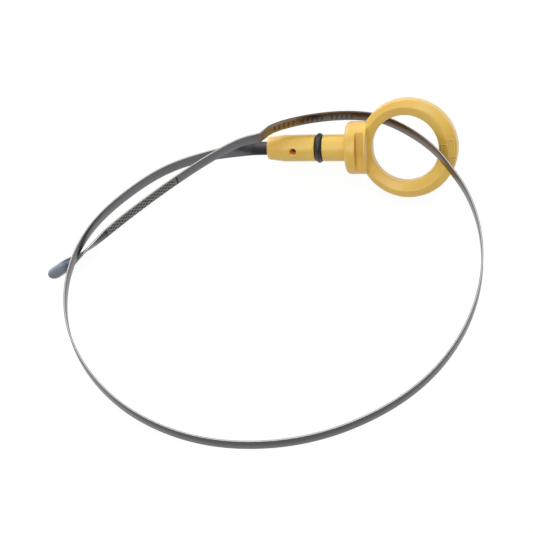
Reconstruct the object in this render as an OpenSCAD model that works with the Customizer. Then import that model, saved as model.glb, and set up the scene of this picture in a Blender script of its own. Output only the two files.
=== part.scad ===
// Engine oil dipstick: a moulded finger-ring handle, a sealing ring and a spring-steel blade.
// The blade is coiled in one loop, and the part lies at rest on a flat surface at z = 0.

/* [Finger ring] */
// Radius of the finger hole
hole_r = 14.7; // [13:0.1:16]
// Radius of the ring's outer edge
rim_r = 21.7; // [20.5:0.1:24]
// How far the outer edge's centre lies past the hole's centre, towards the free end
rim_offset = 1.2; // [0:0.1:2]
// Thickness of the ring at its crest
ring_thickness = 9.8; // [9.2:0.2:11]
// Width of the slope from the hole up to the crest
inner_slope = 4.2; // [2.5:0.1:4.5]
// Width of the slope from the crest down to the outer edge
outer_slope = 3.4; // [2.5:0.1:4.5]

// Angle at which both slopes rise
slope_angle = 30; // [27:1:33]
// Rounding between the ring's walls and its slopes
wall_round = 1.2; // [0.8:0.1:1.5]
// Rounding of the ring's crest
crest_round = 1.5; // [0.8:0.1:2]

/* [Collar] */
// Radius of the collar that seats on the tube's mouth
collar_r = 11.6; // [9.5:0.1:13]
// Length of the collar along the handle
collar_length = 9.6; // [8:0.1:13]
// Distance from the finger hole's edge to the collar's back face
collar_gap = 1.4; // [0.4:0.1:2.5]
// Rounding of the collar's edge on the tube's side
collar_round = 1.8; // [0.5:0.1:2.5]
// Chamfer of the collar's edge on the ring's side
collar_chamfer = 0.3; // [0.1:0.1:0.6]
// Width of the sunk flat on each face of the collar
flat_width = 3.7; // [2:0.1:4.5]
// Depth of the sunk flat at its middle
flat_depth = 3.7; // [1.5:0.1:4.5]
// Width of the lip left between the sunk flat and the ring
flat_lip = 1; // [0.7:0.1:2]

/* [Shaft] */
// Radius of the shaft that plugs the tube
shaft_r = 5.9; // [5.4:0.1:7]
// Length of the shaft from the collar to the nose's end
shaft_length = 35.5; // [32:0.5:42]
// Radius of the nose where its taper ends
nose_r = 5.1; // [4.6:0.1:5.3]
// Length of the nose's taper
nose_length = 7.6; // [4:0.1:9]
// Rounding of the nose's end
nose_round = 1; // [0.4:0.1:1.4]
// Radius of the cross hole, which the blade closes at its middle
cross_hole_r = 1.4; // [0.8:0.1:1.8]
// Distance from the nose's end to the cross hole
cross_hole_place = 12; // [10:0.5:14]
// Width of the chamfer round the cross hole's mouth
cross_hole_chamfer = 0.4; // [0.2:0.1:0.6]
// How far the cross hole is turned about the shaft, away from the finger hole's direction
cross_hole_turn = 6; // [0:1:12]

/* [Sealing ring] */
// Distance from the collar's seat to the middle of the groove
groove_place = 12.4; // [9:0.1:14]
// Width of the groove
groove_width = 3.4; // [3.2:0.1:4]
// Radius of the groove's floor
groove_r = 3.6; // [3.4:0.1:3.8]
// Thickness of the sealing ring's cord
seal_cord = 2.9; // [2.5:0.1:3]
// Clearance between the sealing ring and the groove's floor
seal_clearance = 0.05; // [0.02:0.01:0.2]

/* [Blade] */
// Width of the blade
blade_width = 6; // [4.5:0.1:6.6]
// Thickness of the blade
blade_thickness = 0.8; // [0.5:0.05:1]
// Length of the blade held inside the nose
tang_length = 18; // [15:0.5:21]
// Clearance between the tang and its slot
tang_clearance = 0.06; // [0.03:0.01:0.15]
// Length of the straight stretch that leaves the nose
lead_length = 8; // [6:0.5:10]
// Length of the blade's rounded tip
tip_length = 3.5; // [2:0.5:4]
// Clearance between the blade and the ring that it passes through
pass_clearance = 0.8; // [0.4:0.1:1.5]
// Length of one step along the blade
blade_step = 2.5; // [2:0.25:4]

/* [Coil] */
// Width of the coil from side to side
coil_width = 175; // [171:1:180]
// Depth of the coil from front to back
coil_depth = 155; // [152:1:160]

/* [Rest] */
// How far the ring's plane leans back
rest_lean = 35; // [33:0.5:37]
// How far the ring's end of the handle is raised
rest_tilt = 10; // [9:0.5:11]
// How far the handle is turned about the upright axis
rest_turn = 8.5; // [7:0.5:10]

/* [Hidden] */
$fn = 96;
yellow = [0.88, 0.72, 0.32];
black = [0.16, 0.17, 0.18];
steel = [0.52, 0.52, 0.53];
// How far a cutting solid runs past the face that it opens
cut = 0.5;
// How deep the finger ring is rooted in the collar
ring_root = 0.8;
// Facets of a rounded corner
round_steps = 6;
// Facets of each rounding of the finger ring
slope_steps = 4;

// Places along the handle, measured from the finger hole's centre
collar_back = -hole_r - collar_gap;
collar_front = collar_back - collar_length;
nose_end = collar_front - shaft_length;
groove_middle = collar_front - groove_place;
cross_hole_x = nose_end + cross_hole_place;
tang_end = nose_end + tang_length;
seal_r = groove_r + seal_clearance + seal_cord / 2;
half_ring = ring_thickness / 2;

// Points of a rounded corner between two angles
function corner(centre, r, from, to, steps = round_steps) = [
    for (i = [0 : steps])
        let (a = from + (to - from) * i / steps)
        centre + r * [cos(a), sin(a)]
];
// The ring's section: a rounded wall, then a straight slope up to the rounded crest
function wall_top(width) = half_ring - crest_round + (crest_round - wall_round) / cos(slope_angle)
    - (width - wall_round) * tan(slope_angle);
function slope(width) = concat(
    [[0, 0]],
    corner([wall_round, wall_top(width)], wall_round, 180, 90 + slope_angle, slope_steps),
    corner([width, half_ring - crest_round], crest_round, 90 + slope_angle, 90, slope_steps)
);
function mirrored(points) = [for (i = [len(points) - 1 : -1 : 1]) [points[i].x, -points[i].y]];
function inner_section() = [for (s = slope(inner_slope)) [hole_r + s.x, s.y]];
function outer_section() = [for (s = slope(outer_slope)) [rim_r - s.x, s.y]];
// From the handle's own frame, with x along the shaft and the ring's hole along y, to rest
function about_x(p, a) = [p.x, p.y * cos(a) - p.z * sin(a), p.y * sin(a) + p.z * cos(a)];
function about_y(p, a) = [p.x * cos(a) + p.z * sin(a), p.y, p.z * cos(a) - p.x * sin(a)];
function about_z(p, a) = [p.x * cos(a) - p.y * sin(a), p.x * sin(a) + p.y * cos(a), p.z];
function turned(p) = about_z(about_y(about_x(p, -rest_lean), -rest_tilt), -rest_turn);
// The ring's lowest point touches the surface, which gives the height of the hole's centre
fall_in_plane = norm([turned([1, 0, 0]).z, turned([0, 0, 1]).z]);
fall_across = abs(turned([0, 1, 0]).z);
rest_height = max([for (s = outer_section()) s.x * fall_in_plane + s.y * fall_across])
    - rim_offset * turned([1, 0, 0]).z;
// A place over the surface, for a coil of the chosen width and depth
function on_coil(x, y, height) = [x * coil_width / 175, y * coil_depth / 155, height];
hole_centre = on_coil(61, 63, rest_height);
function at_rest(p) = hole_centre + turned(p);

// The blade's route. Each entry is a point and the direction of the blade's upper edge there.
function unit(v) = v / norm(v);
loop_up = unit([-0.08, -0.1, 1]);
half_width = blade_width / 2;
// A point of the loop, given by its place on the surface and its lower edge's height
function loop_point(x, y, height) = [on_coil(x, y, height + half_width), loop_up];
// The same for the gauge, which leans back a little more
gauge_up = unit([-0.17, -0.19, 0.97]);
function gauge_point(x, y, height) = [on_coil(x, y, height + half_width), gauge_up];
// A point by the handle, given along the shaft, in front of the ring's plane and up the ring
function pass_point(along, front, up) = [at_rest([along, -front, up]), loop_up];
// How far the blade's middle stays in front of or behind the ring's middle plane
pass = half_ring + half_width * 0.66 + blade_thickness / 2 + pass_clearance;
lead_route = [
    for (x = [tang_end, (tang_end + nose_end) / 2, nose_end, nose_end - lead_length / 2, nose_end - lead_length])
        [at_rest([x, 0, 0]), turned([0, 0, 1])]
];
outgoing_route = [
    loop_point(-24.5, 70.4, 3.2),
    loop_point(-44, 62.5, 3.4),
    loop_point(-60.2, 47.2, 4),
    loop_point(-74.5, 29.5, 4.8),
    loop_point(-82.5, 8.6, 4.9),
    loop_point(-84.3, -11.5, 3),
    loop_point(-80.3, -31, 1.2),
    loop_point(-69.7, -49.7, 0.1),
    loop_point(-53.5, -66.2, 0.1),
    loop_point(-30.5, -77.8, 0.5),
    loop_point(-6.5, -81.7, 1.7),
    loop_point(18, -79.8, 3.6),
    loop_point(41.5, -71.8, 6.4),
    loop_point(64, -57.5, 9.6),
    loop_point(80.8, -35.7, 13),
    loop_point(89.7, -10.5, 16),
    loop_point(90.7, 14.5, 18.6),
    loop_point(85.6, 34.2, 20.6)
];
ring_route = [
    pass_point(hole_r + 7.3, pass + 5.2, -8),
    pass_point(hole_r + 1.8, pass + 0.4, -2),
    pass_point(8.7, 2, 2.9),
    pass_point(1.8, -1.8, 6.4),
    pass_point(-6, -6, 9.4),
    pass_point(-13, -pass - 1.4, 11.4),
    pass_point(-21, -pass - 1.6, collar_r + 0.6),
    pass_point(-29, -pass - 0.2, collar_r + 1.3),
    pass_point(-42, -3.4, collar_r + 1.1),
    pass_point(-52, 1.8, collar_r - 0.2),
    pass_point(-56, 4, collar_r - 1.1)
];
gauge_route = [
    loop_point(3.2, 73.5, 16.9),
    loop_point(1.3, 72.4, 16.8),
    loop_point(-0.5, 70.3, 16.7),
    loop_point(-2.3, 68.3, 16.6),
    loop_point(-4.8, 68, 16.4),
    gauge_point(-10.2, 67.2, 15.8),
    gauge_point(-20, 62.2, 14.1),
    gauge_point(-34.5, 53.2, 10.6),
    gauge_point(-50, 42, 6.6),
    gauge_point(-60, 34.2, 3.9),
    gauge_point(-67.8, 27.6, 1.9)
];
// The blade's lower end turns over and lies nearly flat
tip_route = [
    [on_coil(-73, 22.3, 3.4), [0.1, -0.25, 0.95]],
    [on_coil(-77.5, 18, 2.75), [0.27, -0.48, 0.83]],
    [on_coil(-82, 14.3, 2), [0.5, -0.7, 0.4]],
    [on_coil(-85.6, 11.4, 0.9), [0.65, -0.75, 0.05]],
    [on_coil(-89.1, 8.5, 0.7), [0.65, -0.75, 0.05]]
];
route = concat(lead_route, outgoing_route, ring_route, gauge_route, tip_route);

// A cubic B-spline follows the route, and it is carried on so as to start and stop at its ends
last = len(route) - 1;
guide = concat(
    [[2 * route[0][0] - route[1][0], route[0][1]]],
    route,
    [[2 * route[last][0] - route[last - 1][0], route[last][1]]]
);
function weights(t) =
    [pow(1 - t, 3), 3 * pow(t, 3) - 6 * t * t + 4, 3 * t + 3 * t * t - 3 * pow(t, 3) + 1, pow(t, 3)] / 6;
function slopes(t) = [-pow(1 - t, 2), 3 * t * t - 4 * t, 1 + 2 * t - 3 * t * t, t * t] / 2;
function blend(k, w, part) =
    w[0] * guide[k][part] + w[1] * guide[k + 1][part] + w[2] * guide[k + 2][part] + w[3] * guide[k + 3][part];
// One station of the blade: its place, its width direction, its thickness direction, its course
function station(k, t) =
    let (along = unit(blend(k, slopes(t), 0)))
    let (rough = blend(k, weights(t), 1))
    let (across = unit(rough - (rough * along) * along))
    [blend(k, weights(t), 0), across, cross(along, across), along];
function span_steps(k) = max(1, round(norm(route[k + 1][0] - route[k][0]) / blade_step));
stations = [
    for (k = [0 : last - 1])
        for (i = [0 : span_steps(k) - (k == last - 1 ? 0 : 1)])
            station(k, i / span_steps(k))
];
// The four corners of the blade's section
function section(place, across, through, half) = [
    for (c = [[1, 1], [-1, 1], [-1, -1], [1, -1]])
        place + across * half * c[0] + through * blade_thickness / 2 * c[1]
];
end = stations[len(stations) - 1];
tip_sections = [
    for (a = [15 : 13 : 80])
        section(end[0] + end[3] * tip_length * sin(a), end[1], end[2], half_width * cos(a))
];
sections = concat([for (s = stations) section(s[0], s[1], s[2], half_width)], tip_sections);

module handle_frame() {
    translate(hole_centre)
        rotate([-rest_lean, -rest_tilt, -rest_turn])
            children();
}

module turned_body() {
    collar_edge = corner([collar_r - collar_round, collar_front + collar_round], collar_round, 0, -90);
    nose_edge = corner([nose_r - nose_round, nose_end + nose_round], nose_round, 0, -90);
    rotate([0, 90, 0])
        rotate_extrude()
            polygon(concat(
                [[0, collar_back]],
                [[collar_r - collar_chamfer, collar_back]],
                [[collar_r, collar_back - collar_chamfer]],
                collar_edge,
                [[shaft_r, collar_front]],
                [[shaft_r, groove_middle + groove_width / 2]],
                [[groove_r, groove_middle + groove_width / 2]],
                [[groove_r, groove_middle - groove_width / 2]],
                [[shaft_r, groove_middle - groove_width / 2]],
                [[shaft_r, nose_end + nose_length]],
                nose_edge,
                [[0, nose_end]]
            ));
}

// The ring ends a little inside the collar, where its root stops on a plane
module finger_ring() {
    rim = outer_section();
    hole = inner_section();
    crest_r = hole_r + inner_slope;
    difference() {
        rotate([90, 0, 0])
            difference() {
                translate([rim_offset, 0, 0])
                    rotate_extrude()
                        polygon(concat([[0, -half_ring]], mirrored(rim), rim, [[0, half_ring]]));
                rotate_extrude()
                    polygon(concat(
                        [[0, -half_ring - cut]],
                        [[crest_r, -half_ring - cut]],
                        mirrored(hole),
                        hole,
                        [[crest_r, half_ring + cut]],
                        [[0, half_ring + cut]]
                    ));
            }
        translate([collar_back - ring_root - rim_r, -ring_thickness, -rim_r - cut])
            cube([rim_r, 2 * ring_thickness, 2 * (rim_r + cut)]);
    }
}

module sunk_flat() {
    flat_floor = collar_r - flat_depth;
    translate([collar_back - flat_lip - flat_width, flat_floor, -collar_r - cut])
        cube([flat_width, flat_depth + cut, 2 * (collar_r + cut)]);
}

module tang_slot() {
    slot_width = blade_width + 2 * tang_clearance;
    slot_thickness = blade_thickness + 2 * tang_clearance;
    translate([nose_end - cut, -slot_thickness / 2, -slot_width / 2])
        cube([tang_length + tang_clearance + cut, slot_thickness, slot_width]);
}

module cross_hole() {
    mouth_r = cross_hole_r + cross_hole_chamfer + cut;
    translate([cross_hole_x, 0, 0])
        rotate([90 + cross_hole_turn, 0, 0]) {
            cylinder(r = cross_hole_r, h = 2 * (shaft_r + cut), center = true);
            translate([0, 0, shaft_r - cross_hole_chamfer])
                cylinder(r1 = cross_hole_r, r2 = mouth_r, h = cross_hole_chamfer + cut);
            mirror([0, 0, 1])
                translate([0, 0, shaft_r - cross_hole_chamfer])
                    cylinder(r1 = cross_hole_r, r2 = mouth_r, h = cross_hole_chamfer + cut);
        }
}

// The moulded handle: finger ring, collar, shaft and nose in one piece
module handle() {
    color(yellow)
        handle_frame()
            difference() {
                union() {
                    turned_body();
                    finger_ring();
                }
                sunk_flat();
                mirror([0, 1, 0])
                    sunk_flat();
                tang_slot();
                cross_hole();
            }
}

module o_ring() {
    color(black)
        handle_frame()
            translate([groove_middle, 0, 0])
                rotate([0, 90, 0])
                    rotate_extrude()
                        translate([seal_r, 0])
                            circle(r = seal_cord / 2);
}

module blade() {
    count = len(sections);
    corners = [for (s = sections) each s];
    sides = [
        for (i = [0 : count - 2])
            for (j = [0 : 3])
                let (a = 4 * i + j, b = 4 * i + (j + 1) % 4)
                each [[a, b, b + 4], [a, b + 4, a + 4]]
    ];
    first_end = [3, 2, 1, 0];
    last_end = [for (j = [0 : 3]) 4 * (count - 1) + j];
    color(steel)
        polyhedron(points = corners, faces = concat([first_end], sides, [last_end]), convexity = 20);
}

handle();
o_ring();
blade();
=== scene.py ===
"""Engine oil dipstick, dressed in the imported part's own frame, in metres."""
import logging
import math
from dataclasses import dataclass, field
from enum import Enum
from typing import Any, Iterable, Optional

import bpy
from mathutils import Euler, Matrix, Vector


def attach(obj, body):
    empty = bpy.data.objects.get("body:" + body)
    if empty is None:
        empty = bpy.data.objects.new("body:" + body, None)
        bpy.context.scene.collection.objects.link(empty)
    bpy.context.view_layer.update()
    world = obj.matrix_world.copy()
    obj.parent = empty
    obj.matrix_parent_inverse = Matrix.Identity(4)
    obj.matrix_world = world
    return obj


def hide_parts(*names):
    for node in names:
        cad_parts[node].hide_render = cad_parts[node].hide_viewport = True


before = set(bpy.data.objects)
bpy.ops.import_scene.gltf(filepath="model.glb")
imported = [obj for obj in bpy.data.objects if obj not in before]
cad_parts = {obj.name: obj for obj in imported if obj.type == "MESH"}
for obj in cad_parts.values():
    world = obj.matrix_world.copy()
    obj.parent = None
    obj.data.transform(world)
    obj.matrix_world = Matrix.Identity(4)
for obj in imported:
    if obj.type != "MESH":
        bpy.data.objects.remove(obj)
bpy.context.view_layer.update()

LOG = logging.getLogger("dipstick")
MM = 0.001
WELD = 0.004 * MM
WHITE = (1.0, 1.0, 1.0, 1.0)


class SideLimit(Enum):
    """How squarely a face must look through the blade's thickness."""

    EDGE = 0.2
    ROUNDING = 0.8


class Easing(Enum):
    """How a value runs from one end of a span to the other."""

    LINEAR = "LINEAR"
    SMOOTH = "SMOOTHSTEP"


def srgb(hex_code: str) -> tuple[float, float, float, float]:
    """Turn an sRGB hex colour into linear values, by the sRGB standard's own formula.

    Args:
        hex_code: six hex digits, with or without a leading hash.

    Returns:
        The linear red, green and blue, with an alpha of one.
    """
    digits = hex_code.lstrip("#")
    values = [int(digits[i:i + 2], 16) / 255 for i in (0, 2, 4)]
    linear = [v / 12.92 if v <= 0.04045 else ((v + 0.055) / 1.055) ** 2.4 for v in values]
    return (linear[0], linear[1], linear[2], 1.0)


def add_node(
    tree: bpy.types.NodeTree,
    kind: str,
    settings: Optional[dict[str, Any]] = None,
    **sockets: Any,
) -> bpy.types.Node:
    """Add a node with its settings, its values and its links.

    Args:
        tree: the node tree that gets the node.
        kind: the node's type name.
        settings: the node's own properties.
        **sockets: input name, or in0, in1 and so on for a place, to a value or to an output socket.

    Returns:
        The new node.
    """
    node = tree.nodes.new(kind)
    for name, value in (settings or {}).items():
        setattr(node, name, value)
    for name, value in sockets.items():
        place = int(name[2:]) if name[:2] == "in" and name[2:].isdigit() else name.replace("_", " ")
        socket = node.inputs[place]
        if isinstance(value, bpy.types.NodeSocket):
            tree.links.new(value, socket)
        else:
            socket.default_value = value
    return node


def math_node(tree: bpy.types.NodeTree, operation: str, *values: Any) -> bpy.types.NodeSocket:
    """Add one step of arithmetic.

    Args:
        tree: the node tree.
        operation: the Math node's operation.
        *values: numbers or output sockets, in order.

    Returns:
        The step's output.
    """
    sockets = {f"in{i}": value for i, value in enumerate(values)}
    return add_node(tree, "ShaderNodeMath", {"operation": operation}, **sockets).outputs[0]


def product(tree: bpy.types.NodeTree, *factors: Any) -> bpy.types.NodeSocket:
    """Multiply two or more values.

    Args:
        tree: the node tree.
        *factors: numbers or output sockets.

    Returns:
        The product's output.
    """
    total = factors[0]
    for factor in factors[1:]:
        total = math_node(tree, "MULTIPLY", total, factor)
    return total


def remap(
    tree: bpy.types.NodeTree,
    value: bpy.types.NodeSocket,
    span: tuple[float, float],
    onto: tuple[float, float] = (0.0, 1.0),
    easing: Easing = Easing.LINEAR,
) -> bpy.types.NodeSocket:
    """Carry a value from one span to another, and hold it at the ends.

    Args:
        tree: the node tree.
        value: the output socket to carry over.
        span: the value's own limits.
        onto: what the two limits become.
        easing: how the value runs between them.

    Returns:
        The new value's output.
    """
    return add_node(
        tree,
        "ShaderNodeMapRange",
        {"interpolation_type": easing.value},
        Value=value,
        From_Min=span[0],
        From_Max=span[1],
        To_Min=onto[0],
        To_Max=onto[1],
    ).outputs[0]


def noise(tree: bpy.types.NodeTree, place: Any, size: float, detail: float) -> bpy.types.NodeSocket:
    """Add a cloudy noise.

    Args:
        tree: the node tree.
        place: the output socket with the point.
        size: how large the clouds are, in the point's own unit.
        detail: how many finer layers it has.

    Returns:
        The noise's output, about one half on average.
    """
    texture = add_node(tree, "ShaderNodeTexNoise", Vector=place, Scale=1.0 / size, Detail=detail)
    return texture.outputs[0]


def in_millimetres(tree: bpy.types.NodeTree, place: Any) -> bpy.types.NodeSocket:
    """Turn a point in metres into millimetres.

    Args:
        tree: the node tree.
        place: the output socket with the point in metres.

    Returns:
        The output with the point in millimetres.
    """
    scaled = add_node(tree, "ShaderNodeVectorMath", {"operation": "SCALE"}, in0=place)
    scaled.inputs["Scale"].default_value = 1.0 / MM
    return scaled.outputs[0]


def band(tree: bpy.types.NodeTree, value: Any, low: float, high: float) -> bpy.types.NodeSocket:
    """Give one where a value lies between two limits, and nought elsewhere.

    Args:
        tree: the node tree.
        value: the output socket to test.
        low: the lower limit.
        high: the upper limit.

    Returns:
        The mask's output.
    """
    above = math_node(tree, "GREATER_THAN", value, low)
    below = math_node(tree, "LESS_THAN", value, high)
    return math_node(tree, "MULTIPLY", above, below)


def blend(tree: bpy.types.NodeTree, share: Any, first: Any, second: Any) -> bpy.types.NodeSocket:
    """Mix two colours.

    Args:
        tree: the node tree.
        share: how much of the second colour shows.
        first: a colour or an output socket.
        second: a colour or an output socket.

    Returns:
        The mixed colour's output.
    """
    mix = add_node(tree, "ShaderNodeMix", {"data_type": "RGBA"}, in0=share, in6=first, in7=second)
    return mix.outputs[2]


def new_material(name: str) -> tuple[bpy.types.Material, bpy.types.NodeTree, bpy.types.Node]:
    """Start a material with only a shader and its output.

    Args:
        name: the material's name.

    Returns:
        The material, its node tree and its shader.
    """
    material = bpy.data.materials.new(name)
    material.use_nodes = True
    tree = material.node_tree
    tree.nodes.clear()
    output = tree.nodes.new("ShaderNodeOutputMaterial")
    shader = tree.nodes.new("ShaderNodeBsdfPrincipled")
    tree.links.new(shader.outputs[0], output.inputs["Surface"])
    return material, tree, shader


def select_only(piece: bpy.types.Object) -> None:
    """Leave one object selected and active.

    Args:
        piece: the object.
    """
    bpy.ops.object.select_all(action="DESELECT")
    piece.select_set(True)
    bpy.context.view_layer.objects.active = piece


def copy_of_node(node: str, name: str) -> bpy.types.Object:
    """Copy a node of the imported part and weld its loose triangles.

    Args:
        node: the node's name.
        name: the copy's name.

    Returns:
        The welded copy, which has its own mesh.
    """
    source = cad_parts[node]
    piece = source.copy()
    piece.data = source.data.copy()
    piece.parent = None
    for key in list(piece.keys()):
        del piece[key]
    piece.name = name
    piece.data.name = name
    piece.data.materials.clear()
    bpy.context.scene.collection.objects.link(piece)
    select_only(piece)
    if piece.data.has_custom_normals:
        bpy.ops.mesh.customdata_custom_splitnormals_clear()
    bpy.ops.object.mode_set(mode="EDIT")
    bpy.ops.mesh.select_all(action="SELECT")
    bpy.ops.mesh.remove_doubles(threshold=WELD)
    bpy.ops.mesh.normals_make_consistent(inside=False)
    bpy.ops.object.mode_set(mode="OBJECT")
    return piece


def apply_modifier(piece: bpy.types.Object, kind: str, **settings: Any) -> None:
    """Add a modifier to an object and apply it.

    Args:
        piece: the object.
        kind: the modifier's type name.
        **settings: the modifier's properties.
    """
    modifier = piece.modifiers.new(kind.lower(), kind)
    for name, value in settings.items():
        setattr(modifier, name, value)
    select_only(piece)
    bpy.ops.object.modifier_apply(modifier=modifier.name)


def finish_piece(piece: bpy.types.Object, material: bpy.types.Material, slot: str) -> bpy.types.Object:
    """Give a piece its material and its body, and hide the node that it stands for.

    Args:
        piece: the object.
        material: the material for all of its faces.
        slot: the record's material slot, which is also the node that the piece stands for.

    Returns:
        The same object.
    """
    piece.data.materials.clear()
    piece.data.materials.append(material)
    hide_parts(slot)
    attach(piece, "root")
    LOG.info("%s: %d faces", piece.name, len(piece.data.polygons))
    return piece


@dataclass(frozen=True)
class HandlePose:
    """The handle's own frame at rest: x along the shaft, the finger hole along y."""

    centre: tuple[float, float, float] = (61.0 * MM, 63.0 * MM, 19.303 * MM)
    lean: float = 35.0
    tilt: float = 10.0
    turn: float = 8.5

    def euler(self) -> Euler:
        """Return the turn from the handle's frame to rest."""
        return Euler([math.radians(-a) for a in (self.lean, self.tilt, self.turn)], "XYZ")

    def matrix(self) -> Matrix:
        """Return the matrix from the handle's frame to rest."""
        return Matrix.Translation(self.centre) @ self.euler().to_matrix().to_4x4()

    def local(self, tree: bpy.types.NodeTree) -> bpy.types.NodeSocket:
        """Add nodes that give a point in the handle's frame, in millimetres.

        Args:
            tree: the node tree.

        Returns:
            The output with the local point.
        """
        place = add_node(tree, "ShaderNodeTexCoord").outputs["Object"]
        back = add_node(
            tree,
            "ShaderNodeMapping",
            {"vector_type": "TEXTURE"},
            Vector=place,
            Location=self.centre,
            Rotation=tuple(self.euler()),
        ).outputs[0]
        return in_millimetres(tree, back)


@dataclass(frozen=True)
class Box:
    """One box of the moulded outline: its middle and half sizes in the handle's frame, in millimetres."""

    middle_x: float
    middle_z: float
    half_x: float
    half_z: float


@dataclass(frozen=True)
class MouldedNylon:
    """Handle: yellow nylon, injection moulded in a spark-eroded tool.

    The tool leaves a fine pebbled skin with a soft gloss, which is why the slopes that
    face the light look paler. The resin's flow leaves faint streaks of a deeper yellow.
    """

    colour: str = "#E0BA4C"
    deep: str = "#D6AA44"
    # Colour of the painted highlight on the crest of the raised outline.
    crest_highlight: str = "#EACB7C"
    # Colour of the painted glow in the cross hole.
    glow: str = "#8C3A22"
    grain_mm: float = 0.35
    grain_span: tuple[float, float] = (0.3, 0.7)
    streak_mm: float = 9.0
    streak_span: tuple[float, float] = (0.35, 0.65)
    roughness: tuple[float, float] = (0.36, 0.46)
    # How much of the painted crest highlight shows.
    crest_highlight_share: float = 0.6
    hole_x: float = -49.2
    hole_turn: float = 6.0
    hole_r: float = 1.5
    hole_reach: float = 5.3
    glow_strength: float = 0.3
    outline: tuple[Box, ...] = (Box(17.6, -0.8, 1.5, 2.75), Box(20.45, 0.35, 1.35, 3.85))
    line_span: tuple[float, float] = (0.45, 0.1)

    def build(self, pose: HandlePose) -> bpy.types.Material:
        """Make the material.

        Args:
            pose: the handle's frame, along which the resin flowed.

        Returns:
            The material.
        """
        material, tree, shader = new_material("yellow_moulded_nylon")
        local = pose.local(tree)
        # The streaks are three times as long along the shaft as across it.
        flow = add_node(tree, "ShaderNodeMapping", Vector=local, Scale=(0.33, 1.0, 1.0)).outputs[0]
        streak = noise(tree, flow, self.streak_mm, 3.0)
        fine = noise(tree, local, self.grain_mm, 2.0)
        colour = blend(tree, remap(tree, streak, self.streak_span), srgb(self.colour), srgb(self.deep))
        # The outline's crest gets a painted highlight, paler where the raised line catches the light.
        mark = self.moulded_mark(tree, local)
        skin = blend(tree, product(tree, mark, self.crest_highlight_share), colour, srgb(self.crest_highlight))
        tree.links.new(skin, shader.inputs["Base Color"])
        rough = remap(tree, fine, self.grain_span, self.roughness)
        tree.links.new(rough, shader.inputs["Roughness"])
        grain = add_node(tree, "ShaderNodeBump", Height=fine, Strength=0.12, Distance=0.05 * MM)
        raised = add_node(
            tree, "ShaderNodeBump",
            Height=mark, Strength=0.9, Distance=0.35 * MM, Normal=grain.outputs[0],
        )
        tree.links.new(raised.outputs[0], shader.inputs["Normal"])
        # The cross hole gets a painted glow: emission, not a lamp.
        shader.inputs["Emission Color"].default_value = srgb(self.glow)
        tree.links.new(self.hole_glow(tree, local), shader.inputs["Emission Strength"])
        shader.inputs["IOR"].default_value = 1.53
        shader.inputs["Coat Weight"].default_value = 0.5
        shader.inputs["Coat Roughness"].default_value = 0.3
        shader.inputs["Subsurface Weight"].default_value = 0.25
        shader.inputs["Subsurface Radius"].default_value = (1.0, 0.6, 0.25)
        shader.inputs["Subsurface Scale"].default_value = 1.5 * MM
        return material

    def hole_glow(self, tree: bpy.types.NodeTree, local: bpy.types.NodeSocket) -> bpy.types.NodeSocket:
        """Add a painted glow in the cross hole: emission that stands in for the light that seeps through
        the nylon.

        Args:
            tree: the node tree.
            local: the point in the handle's frame, in millimetres.

        Returns:
            The glow's strength.
        """
        turn = math.radians(self.hole_turn)
        parts = add_node(tree, "ShaderNodeSeparateXYZ", in0=local).outputs
        off_x = math_node(tree, "SUBTRACT", parts[0], self.hole_x)
        off_z = math_node(
            tree,
            "SUBTRACT",
            product(tree, parts[2], math.cos(turn)),
            product(tree, parts[1], math.sin(turn)),
        )
        squared = math_node(
            tree, "ADD", math_node(tree, "POWER", off_x, 2.0), math_node(tree, "POWER", off_z, 2.0)
        )
        inside = math_node(tree, "LESS_THAN", squared, self.hole_r ** 2)
        deep = math_node(tree, "LESS_THAN", math_node(tree, "ABSOLUTE", parts[1]), self.hole_reach)
        return product(tree, inside, deep, self.glow_strength)

    def moulded_mark(self, tree: bpy.types.NodeTree, local: bpy.types.NodeSocket) -> bpy.types.NodeSocket:
        """Add a plain raised outline on the ring's front, beside the hole.

        Args:
            tree: the node tree.
            local: the point in the handle's frame, in millimetres.

        Returns:
            The outline's height, from nought to one.
        """
        parts = add_node(tree, "ShaderNodeSeparateXYZ", in0=local).outputs
        front = math_node(tree, "LESS_THAN", parts[1], 0.0)
        outlines: list[bpy.types.NodeSocket] = []
        for box in self.outline:
            off_x = math_node(tree, "ABSOLUTE", math_node(tree, "SUBTRACT", parts[0], box.middle_x))
            off_z = math_node(tree, "ABSOLUTE", math_node(tree, "SUBTRACT", parts[2], box.middle_z))
            reach = math_node(
                tree,
                "MAXIMUM",
                math_node(tree, "SUBTRACT", off_x, box.half_x),
                math_node(tree, "SUBTRACT", off_z, box.half_z),
            )
            away = math_node(tree, "ABSOLUTE", reach)
            outlines.append(remap(tree, away, self.line_span, easing=Easing.SMOOTH))
        return product(tree, front, math_node(tree, "MAXIMUM", *outlines))


@dataclass(frozen=True)
class NitrileRubber:
    """Sealing ring: black nitrile rubber, compression moulded.

    It is nearly black with a soft sheen, and its skin is slightly dusty and uneven.
    """

    colour: str = "#191B1D"
    dusty: str = "#2B2E31"
    speck: float = 0.6 * MM
    dust_span: tuple[float, float] = (0.4, 0.75)
    roughness: tuple[float, float] = (0.3, 0.45)

    def build(self) -> bpy.types.Material:
        """Make the material.

        Returns:
            The material.
        """
        material, tree, shader = new_material("black_nitrile_rubber")
        place = add_node(tree, "ShaderNodeTexCoord").outputs["Object"]
        specks = noise(tree, place, self.speck, 4.0)
        colour = blend(tree, remap(tree, specks, self.dust_span), srgb(self.colour), srgb(self.dusty))
        tree.links.new(colour, shader.inputs["Base Color"])
        rough = remap(tree, specks, (0.0, 1.0), self.roughness)
        tree.links.new(rough, shader.inputs["Roughness"])
        bump = add_node(tree, "ShaderNodeBump", Height=specks, Strength=0.15, Distance=0.05 * MM)
        tree.links.new(bump.outputs[0], shader.inputs["Normal"])
        shader.inputs["IOR"].default_value = 1.52
        return material


@dataclass(frozen=True)
class Tint:
    """A stretch of the blade painted in one colour, in millimetres along it."""

    colour: str
    start: float
    end: float
    fade: float


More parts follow.
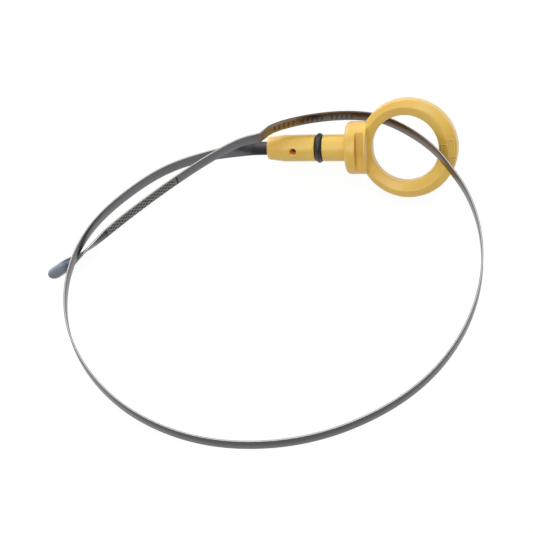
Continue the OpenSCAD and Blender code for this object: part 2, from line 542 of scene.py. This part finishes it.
@dataclass(frozen=True)
class SpringSteel:
    """Blade: hardened spring-steel strip, cold rolled and brushed along its length.

    The brushed faces are a dark grey with a lengthwise grain, and the slit edges are
    polished bright. Some stretches carry painted shade and painted reflections, the slit
    edge is painted dull brown on one, and the rounded long edges carry a painted shade
    line. The gauge zone has an etched diamond hatch that holds oil.
    """

    face: str = "#66666A"
    shade: str = "#5C5C60"
    back: str = "#4F4F53"
    edge: str = "#B6B2AC"
    # Colour of the painted shade line on the rounded long edges.
    rounding: str = "#565452"
    etched: str = "#2F2D2D"
    # Painted shade and painted reflections along the blade: shade near the nose, the handle's brown
    # reflection with a paler patch, shade at the twist, and a bluish reflection of the surroundings at the
    # twist and tip.
    tints: tuple[Tint, ...] = (
        Tint("#464649", -5.0, 26.0, 1.0),
        Tint("#62564F", 440.0, 556.0, 6.0),
        Tint("#8F857E", 535.0, 552.0, 3.0),
        Tint("#2E2A2A", 633.5, 641.5, 1.5),
        Tint("#303A46", 643.0, 658.0, 2.0),
        Tint("#5E656E", 658.0, 680.0, 2.0),
    )
    stain: float = 0.9
    # On this stretch the slit edge is painted a dull brown.
    brown_edge: Tint = Tint("#5E5148", 502.0, 552.0, 5.0)
    gauge: Tint = Tint("#7E7C7A", 596.5, 632.7, 0.5)
    grain_mm: float = 0.3
    cloud_mm: float = 50.0 / 3.0
    grain_share: float = 0.6
    tone_span: tuple[float, float] = (0.35, 0.65)
    roughness: tuple[float, float] = (0.26, 0.4)
    etched_rough: float = 0.25
    hatch_mm: float = 2.4
    ridge_share: float = 0.16
    ridge_clear: float = 0.85
    level_gap: float = 0.9
    level_end: float = 1.6
    half_zone: float = 2.6
    print_start: float = 509.0
    print_end: float = 546.0
    half_tick: float = 1.7
    tick_pitch: float = 1.1
    tick_half: float = 0.5
    group_pitch: float = 6.6
    group_half: float = 4.9
    tick_depth: float = 0.55

    def build(self) -> bpy.types.Material:
        """Make the material.

        Returns:
            The material.
        """
        material, tree, shader = new_material("brushed_spring_steel")
        flat = add_node(tree, "ShaderNodeUVMap", {"uv_map": "strip"}).outputs[0]
        strip = in_millimetres(tree, flat)
        parts = add_node(tree, "ShaderNodeSeparateXYZ", in0=strip).outputs
        side = add_node(tree, "ShaderNodeAttribute", {"attribute_name": "side"}).outputs["Fac"]
        square = math_node(tree, "ABSOLUTE", side)
        edge = math_node(tree, "LESS_THAN", square, SideLimit.EDGE.value)
        rounding = band(tree, square, SideLimit.EDGE.value, SideLimit.ROUNDING.value)
        inner = math_node(tree, "LESS_THAN", side, -SideLimit.ROUNDING.value)

        # The rolling grain is forty times as long as it is wide; it is drawn coarse enough to show.
        stretched = add_node(tree, "ShaderNodeMapping", Vector=strip, Scale=(0.025, 1.0, 1.0)).outputs[0]
        grain = noise(tree, stretched, self.grain_mm, 3.0)
        clouds = noise(tree, strip, self.cloud_mm, 2.0)
        unevenness = product(tree, clouds, 1.0 - self.grain_share)
        tone = math_node(tree, "MULTIPLY_ADD", grain, self.grain_share, unevenness)
        body = blend(tree, remap(tree, tone, self.tone_span), srgb(self.face), srgb(self.shade))
        body = blend(tree, math_node(tree, "GREATER_THAN", side, 0.0), body, srgb(self.back))
        # Each stretch paints its shade or reflection over the steel.
        for tint in self.tints:
            reach = product(tree, self.stretch(tree, parts[0], tint), self.stain)
            body = blend(tree, reach, body, srgb(tint.colour))
        cleaned = product(tree, self.stretch(tree, parts[0], self.gauge), inner, self.stain)
        body = blend(tree, cleaned, body, srgb(self.gauge.colour))
        hatched = self.hatch(tree, parts[0], parts[1], inner)
        etched = math_node(tree, "MAXIMUM", hatched, self.ticks(tree, parts[0], parts[1], inner))
        worked = blend(tree, etched, body, srgb(self.etched))
        # The rounded faces between each face and its slit edge get a painted shade line.
        with_painted_edge_shade = blend(tree, rounding, worked, srgb(self.rounding))
        # The slit edge is painted a dull brown on one stretch.
        brown_stretch = self.stretch(tree, parts[0], self.brown_edge)
        slit = blend(tree, brown_stretch, srgb(self.edge), srgb(self.brown_edge.colour))
        colour = blend(tree, edge, with_painted_edge_shade, slit)
        tree.links.new(colour, shader.inputs["Base Color"])

        rough = remap(tree, grain, (0.0, 1.0), self.roughness)
        rough = math_node(tree, "ADD", rough, product(tree, etched, self.etched_rough))
        tree.links.new(rough, shader.inputs["Roughness"])
        bump = add_node(tree, "ShaderNodeBump", Height=grain, Strength=0.08, Distance=0.02 * MM)
        pits = add_node(
            tree, "ShaderNodeBump", {"invert": True},
            Height=etched, Strength=0.5, Distance=0.05 * MM, Normal=bump.outputs[0],
        )
        tree.links.new(pits.outputs[0], shader.inputs["Normal"])
        shader.inputs["Metallic"].default_value = 1.0
        shader.inputs["Anisotropic"].default_value = 0.4
        return material

    def stretch(self, tree: bpy.types.NodeTree, along: Any, tint: Tint) -> bpy.types.NodeSocket:
        """Give one on a stretch of the blade, fading out at both ends.

        Args:
            tree: the node tree.
            along: millimetres along the blade.
            tint: the stretch.

        Returns:
            The mask's output.
        """
        starts = (tint.start - tint.fade, tint.start + tint.fade)
        ends = (tint.end + tint.fade, tint.end - tint.fade)
        rise = remap(tree, along, starts, easing=Easing.SMOOTH)
        fall = remap(tree, along, ends, easing=Easing.SMOOTH)
        return product(tree, rise, fall)

    def hatch(self, tree: bpy.types.NodeTree, along: Any, across: Any, inner: Any) -> bpy.types.NodeSocket:
        """Add the etched diamonds between the two levels, and a line at each level.

        Args:
            tree: the node tree.
            along: millimetres along the blade.
            across: millimetres across the blade.
            inner: one on the side that carries the gauge.

        Returns:
            How strongly each place is etched, from nought to one.
        """
        # Two sets of slanting ridges cross between the diamonds and are hardly etched.
        ridges: list[bpy.types.NodeSocket] = []
        for way in ("ADD", "SUBTRACT"):
            slant = math_node(tree, way, along, across)
            wave = math_node(tree, "PINGPONG", slant, self.hatch_mm / 2)
            ridges.append(math_node(tree, "LESS_THAN", wave, self.hatch_mm * self.ridge_share))
        start, end = self.gauge.start, self.gauge.end
        zone = band(tree, along, start, end)
        wide = math_node(tree, "LESS_THAN", math_node(tree, "ABSOLUTE", across), self.half_zone)
        ridge = math_node(tree, "MAXIMUM", *ridges)
        hollow = math_node(tree, "MULTIPLY_ADD", ridge, -self.ridge_clear, 1.0)
        diamonds = product(tree, hollow, zone, wide)
        levels = math_node(
            tree,
            "MAXIMUM",
            band(tree, along, start - self.level_end, start - self.level_gap),
            band(tree, along, end + self.level_gap, end + self.level_end),
        )
        return product(tree, inner, math_node(tree, "MAXIMUM", diamonds, levels))

    def ticks(self, tree: bpy.types.NodeTree, along: Any, across: Any, inner: Any) -> bpy.types.NodeSocket:
        """Add groups of plain etched ticks on the stretch behind the handle.

        Args:
            tree: the node tree.
            along: millimetres along the blade.
            across: millimetres across the blade.
            inner: one on the side that carries the gauge.

        Returns:
            The ticks, from nought to one.
        """
        zone = band(tree, along, self.print_start, self.print_end)
        tall = math_node(tree, "LESS_THAN", math_node(tree, "ABSOLUTE", across), self.half_tick)
        from_tick = math_node(tree, "PINGPONG", along, self.tick_pitch)
        tick = math_node(tree, "LESS_THAN", from_tick, self.tick_half)
        from_group = math_node(tree, "PINGPONG", along, self.group_pitch)
        group = math_node(tree, "LESS_THAN", from_group, self.group_half)
        return product(tree, inner, zone, tick, tall, group, self.tick_depth)


@dataclass
class Handle:
    """The moulded handle: ring, collar, shaft and nose, with softened edges."""

    pose: HandlePose
    finish: MouldedNylon
    voxel: float = 0.3 * MM
    passes: int = 1

    def build(self) -> bpy.types.Object:
        """Copy the node, melt its facets into one skin and soften its edges.

        Returns:
            The finished handle.
        """
        piece = copy_of_node("handle", "moulded_handle")
        apply_modifier(piece, "REMESH", mode="VOXEL", voxel_size=self.voxel, use_smooth_shade=True)
        apply_modifier(piece, "SMOOTH", factor=0.5, iterations=self.passes)
        return finish_piece(piece, self.finish.build(self.pose), "handle")


@dataclass
class SealingRing:
    """The rubber ring in the shaft's groove, with the faint flash line of its mould."""

    pose: HandlePose
    finish: NitrileRubber
    place: float = -38.1 * MM
    ring_r: float = 5.1 * MM
    cord_r: float = 1.45 * MM
    flash: float = 1.012
    segments: int = 128
    cord_segments: int = 40

    def build(self) -> bpy.types.Object:
        """Turn a torus, raise its flash line and put it in the groove.

        Returns:
            The finished ring.
        """
        bpy.ops.object.select_all(action="DESELECT")
        bpy.ops.mesh.primitive_torus_add(
            major_radius=self.ring_r,
            minor_radius=self.cord_r,
            major_segments=self.segments,
            minor_segments=self.cord_segments,
        )
        piece = bpy.context.object
        piece.name = piece.data.name = "sealing_ring"
        select_only(piece)
        bpy.ops.object.mode_set(mode="EDIT")
        bpy.ops.mesh.select_all(action="DESELECT")
        bpy.ops.object.mode_set(mode="OBJECT")
        outermost = self.ring_r + self.cord_r - 0.01 * MM
        for vertex in piece.data.vertices:
            vertex.select = math.hypot(vertex.co.x, vertex.co.y) > outermost
        bpy.ops.object.mode_set(mode="EDIT")
        bpy.ops.mesh.select_mode(type="VERT")
        bpy.ops.transform.resize(value=(self.flash, self.flash, 1.0))
        bpy.ops.object.mode_set(mode="OBJECT")
        bpy.ops.object.shade_smooth()
        lie = Matrix.Translation((self.place, 0.0, 0.0)) @ Matrix.Rotation(math.pi / 2, 4, "Y")
        piece.data.transform(self.pose.matrix() @ lie)
        return finish_piece(piece, self.finish.build(), "o_ring")


@dataclass
class Blade:
    """The coiled steel strip, with a flat map along and across it for its pattern."""

    pose: HandlePose
    finish: SpringSteel
    thickness: float = 0.8 * MM
    edge_round: float = 0.2 * MM
    sharp_angle: float = 50.0
    shading_angle: float = 35.0
    tang_x: float = -43.2 * MM
    tang_reach: tuple[float, float, float] = (0.1 * MM, 1.0 * MM, 4.0 * MM)
    sections: list[list[int]] = field(default_factory=list)

    def build(self) -> bpy.types.Object:
        """Copy the node, map it, round its long edges and shade it.

        Returns:
            The finished blade.
        """
        piece = copy_of_node("blade", "steel_blade")
        self.find_sections(piece)
        self.map_strip(piece)
        self.round_edges(piece)
        self.name_sides(piece)
        return finish_piece(piece, self.finish.build(), "blade")

    def find_sections(self, piece: bpy.types.Object) -> None:
        """Walk from the tang to the tip and list the four corners of each section.

        Args:
            piece: the welded copy of the blade.
        """
        mesh = piece.data
        back = self.pose.matrix().inverted()
        ring = []
        for vertex in mesh.vertices:
            point = back @ vertex.co
            off = (point.x - self.tang_x, point.y, point.z)
            if all(abs(distance) < reach for distance, reach in zip(off, self.tang_reach)):
                ring.append(vertex.index)
        near: dict[int, set[int]] = {vertex.index: set() for vertex in mesh.vertices}
        for edge in mesh.edges:
            first, second = edge.vertices
            near[first].add(second)
            near[second].add(first)
        seen = set(ring)
        self.sections = []
        while ring:
            self.sections.append(ring)
            ring = sorted({n for index in ring for n in near[index]} - seen)
            seen.update(ring)

    def map_strip(self, piece: bpy.types.Object) -> None:
        """Store metres along and across the blade, and the way through its thickness.

        Args:
            piece: the welded copy of the blade.
        """
        mesh = piece.data
        centres = [sum((mesh.vertices[i].co for i in ring), Vector()) / len(ring) for ring in self.sections]
        across_before = self.pose.euler().to_matrix() @ Vector((0.0, 0.0, 1.0))
        along = 0.0
        flat: dict[int, tuple[float, float, Vector]] = {}
        for number, ring in enumerate(self.sections):
            if number:
                along += (centres[number] - centres[number - 1]).length
            step = centres[min(number + 1, len(centres) - 1)] - centres[max(number - 1, 0)]
            course = step.normalized()
            widest = self.width_way(mesh, ring, course)
            if widest.dot(across_before) < 0:
                widest = -widest
            across_before = widest
            through = course.cross(widest).normalized()
            for index in ring:
                flat[index] = (along, (mesh.vertices[index].co - centres[number]).dot(widest), through)
        mesh.uv_layers.new(name="strip")
        mesh.attributes.new("through", "FLOAT_VECTOR", "CORNER")
        layer = mesh.uv_layers["strip"]
        across = mesh.attributes["through"]
        for polygon in mesh.polygons:
            for loop in polygon.loop_indices:
                place = flat[mesh.loops[loop].vertex_index]
                layer.data[loop].uv = (place[0], place[1])
                across.data[loop].vector = place[2]

    def width_way(self, mesh: bpy.types.Mesh, ring: list[int], course: Vector) -> Vector:
        """Find the direction across the blade at one section.

        Args:
            mesh: the blade's mesh.
            ring: the section's corners.
            course: the blade's direction there.

        Returns:
            A unit direction across the blade.
        """
        points = [mesh.vertices[i].co for i in ring]
        pairs = [(a - b) for n, a in enumerate(points) for b in points[n + 1:]]
        sides = sorted(pairs, key=lambda pair: abs(pair.length - self.thickness))
        through = sides[0].normalized()
        return through.cross(course).normalized()

    def round_edges(self, piece: bpy.types.Object) -> None:
        """Round the strip's long edges slightly and shade it by angle.

        Args:
            piece: the mapped blade.
        """
        select_only(piece)
        bpy.ops.object.mode_set(mode="EDIT")
        bpy.ops.mesh.select_mode(type="EDGE")
        bpy.ops.mesh.select_all(action="DESELECT")
        bpy.ops.mesh.edges_select_sharp(sharpness=math.radians(self.sharp_angle))
        bpy.ops.mesh.bevel(offset=self.edge_round, segments=2, affect="EDGES")
        bpy.ops.object.mode_set(mode="OBJECT")
        bpy.ops.object.shade_smooth_by_angle(angle=math.radians(self.shading_angle))

    def name_sides(self, piece: bpy.types.Object) -> None:
        """Store on each face how squarely it looks through the blade's thickness.

        Args:
            piece: the blade with its rounded edges.
        """
        mesh = piece.data
        mesh.attributes.new("side", "FLOAT", "FACE")
        side = mesh.attributes["side"]
        through = mesh.attributes["through"]
        for polygon in mesh.polygons:
            way = Vector(through.data[polygon.loop_start].vector)
            side.data[polygon.index].value = polygon.normal.dot(way.normalized())
        mesh.attributes.remove(mesh.attributes["through"])


@dataclass(frozen=True)
class Lamp:
    """A square soft lamp that looks at the object: its place and size in metres, its power in watts."""

    name: str
    place: tuple[float, float, float]
    size: float
    power: float


@dataclass
class Studio:
    """Pale floor, soft lamps and the camera at the photograph's angle."""

    eye: tuple[float, float, float] = (0.41 * MM, -485.69 * MM, 637.39 * MM)
    look_down: float = 52.0
    field_of_view: float = 16.0
    floor_half: float = 3.0
    floor_drop: float = 0.02 * MM
    floor_colour: str = "#CCCCCC"
    floor_shown: float = 0.88
    floor_bright: float = 1.06
    room_span: tuple[float, float] = (-0.7, 0.3)
    room_light: tuple[float, float] = (0.3, 1.0)
    lamps: tuple[Lamp, ...] = (
        Lamp("back_lamp", (0.0, 0.68, 0.87), 1.3, 2.0),
        Lamp("key_lamp", (-0.55, 0.75, 0.35), 0.4, 2.4),
        Lamp("top_lamp", (0.1, -0.22, 1.1), 0.5, 2.6),
        Lamp("fill_lamp", (-0.35, -0.6, 0.7), 0.6, 3.0),
    )

    def build(self) -> None:
        """Make the floor, the light and the camera."""
        self.add_floor()
        self.add_light()
        self.add_camera()
        bpy.context.scene.view_settings.view_transform = "Standard"

    def seen_directly(self, tree: bpy.types.NodeTree) -> bpy.types.NodeSocket:
        """Give one for what the camera sees, straight or in a gloss or through glass.

        Args:
            tree: the node tree.

        Returns:
            The mask's output.
        """
        path = add_node(tree, "ShaderNodeLightPath").outputs
        seen = math_node(tree, "MAXIMUM", path["Is Camera Ray"], path["Is Glossy Ray"])
        return math_node(tree, "MAXIMUM", seen, path["Is Transmission Ray"])

    def add_floor(self) -> None:
        """Lay a pale floor that keeps a soft share of the object's shadow."""
        bpy.ops.object.select_all(action="DESELECT")
        bpy.ops.mesh.primitive_plane_add(size=2 * self.floor_half, location=(0.0, 0.0, -self.floor_drop))
        floor = bpy.context.object
        floor.name = "floor"
        material = bpy.data.materials.new("pale_floor")
        material.use_nodes = True
        tree = material.node_tree
        tree.nodes.clear()
        lit = add_node(tree, "ShaderNodeBsdfDiffuse", Color=srgb(self.floor_colour)).outputs[0]
        plain = add_node(tree, "ShaderNodeEmission", Color=WHITE, Strength=self.floor_bright).outputs[0]
        share = product(tree, self.seen_directly(tree), self.floor_shown)
        mixed = add_node(tree, "ShaderNodeMixShader", in0=share, in1=lit, in2=plain).outputs[0]
        add_node(tree, "ShaderNodeOutputMaterial", Surface=mixed)
        floor.data.materials.append(material)

    def add_light(self) -> None:
        """Light the room, and hang soft lamps behind, above and in front of the object."""
        world = bpy.data.worlds.new("studio")
        bpy.context.scene.world = world
        world.use_nodes = True
        tree = world.node_tree
        tree.nodes.clear()
        # The room is pale behind the object and darker on the photographer's side.
        way = add_node(tree, "ShaderNodeTexCoord").outputs["Generated"]
        back = add_node(tree, "ShaderNodeSeparateXYZ", in0=way).outputs[1]
        pale = remap(tree, back, self.room_span, self.room_light)
        around = add_node(tree, "ShaderNodeBackground", Color=WHITE, Strength=pale).outputs[0]
        white = add_node(tree, "ShaderNodeBackground", Color=WHITE, Strength=1.0).outputs[0]
        camera_only = add_node(tree, "ShaderNodeLightPath").outputs["Is Camera Ray"]
        mixed = add_node(tree, "ShaderNodeMixShader", in0=camera_only, in1=around, in2=white).outputs[0]
        add_node(tree, "ShaderNodeOutputWorld", Surface=mixed)
        for lamp in self.lamps:
            light = bpy.data.lights.new(lamp.name, "AREA")
            light.size = lamp.size
            light.energy = lamp.power
            holder = bpy.data.objects.new(lamp.name, light)
            bpy.context.scene.collection.objects.link(holder)
            holder.location = lamp.place
            holder.rotation_euler = (-Vector(lamp.place)).to_track_quat("-Z", "Y").to_euler()

    def add_camera(self) -> None:
        """Stand the camera where the photograph was taken."""
        camera = bpy.data.cameras.new("camera")
        camera.angle = math.radians(self.field_of_view)
        camera.clip_start = 0.05
        camera.clip_end = 20.0
        holder = bpy.data.objects.new("camera", camera)
        bpy.context.scene.collection.objects.link(holder)
        holder.location = self.eye
        holder.rotation_euler = (math.radians(90.0 - self.look_down), 0.0, 0.0)
        bpy.context.scene.camera = holder


def main() -> None:
    """Build the pieces in order, then the studio."""
    logging.basicConfig(level=logging.INFO, format="%(name)s %(message)s")
    pose = HandlePose()
    for part in (
        Handle(pose, MouldedNylon()),
        SealingRing(pose, NitrileRubber()),
        Blade(pose, SpringSteel()),
    ):
        piece = part.build()
        LOG.info("%s built", piece.name)
    Studio().build()


if __name__ == "__main__":
    main()
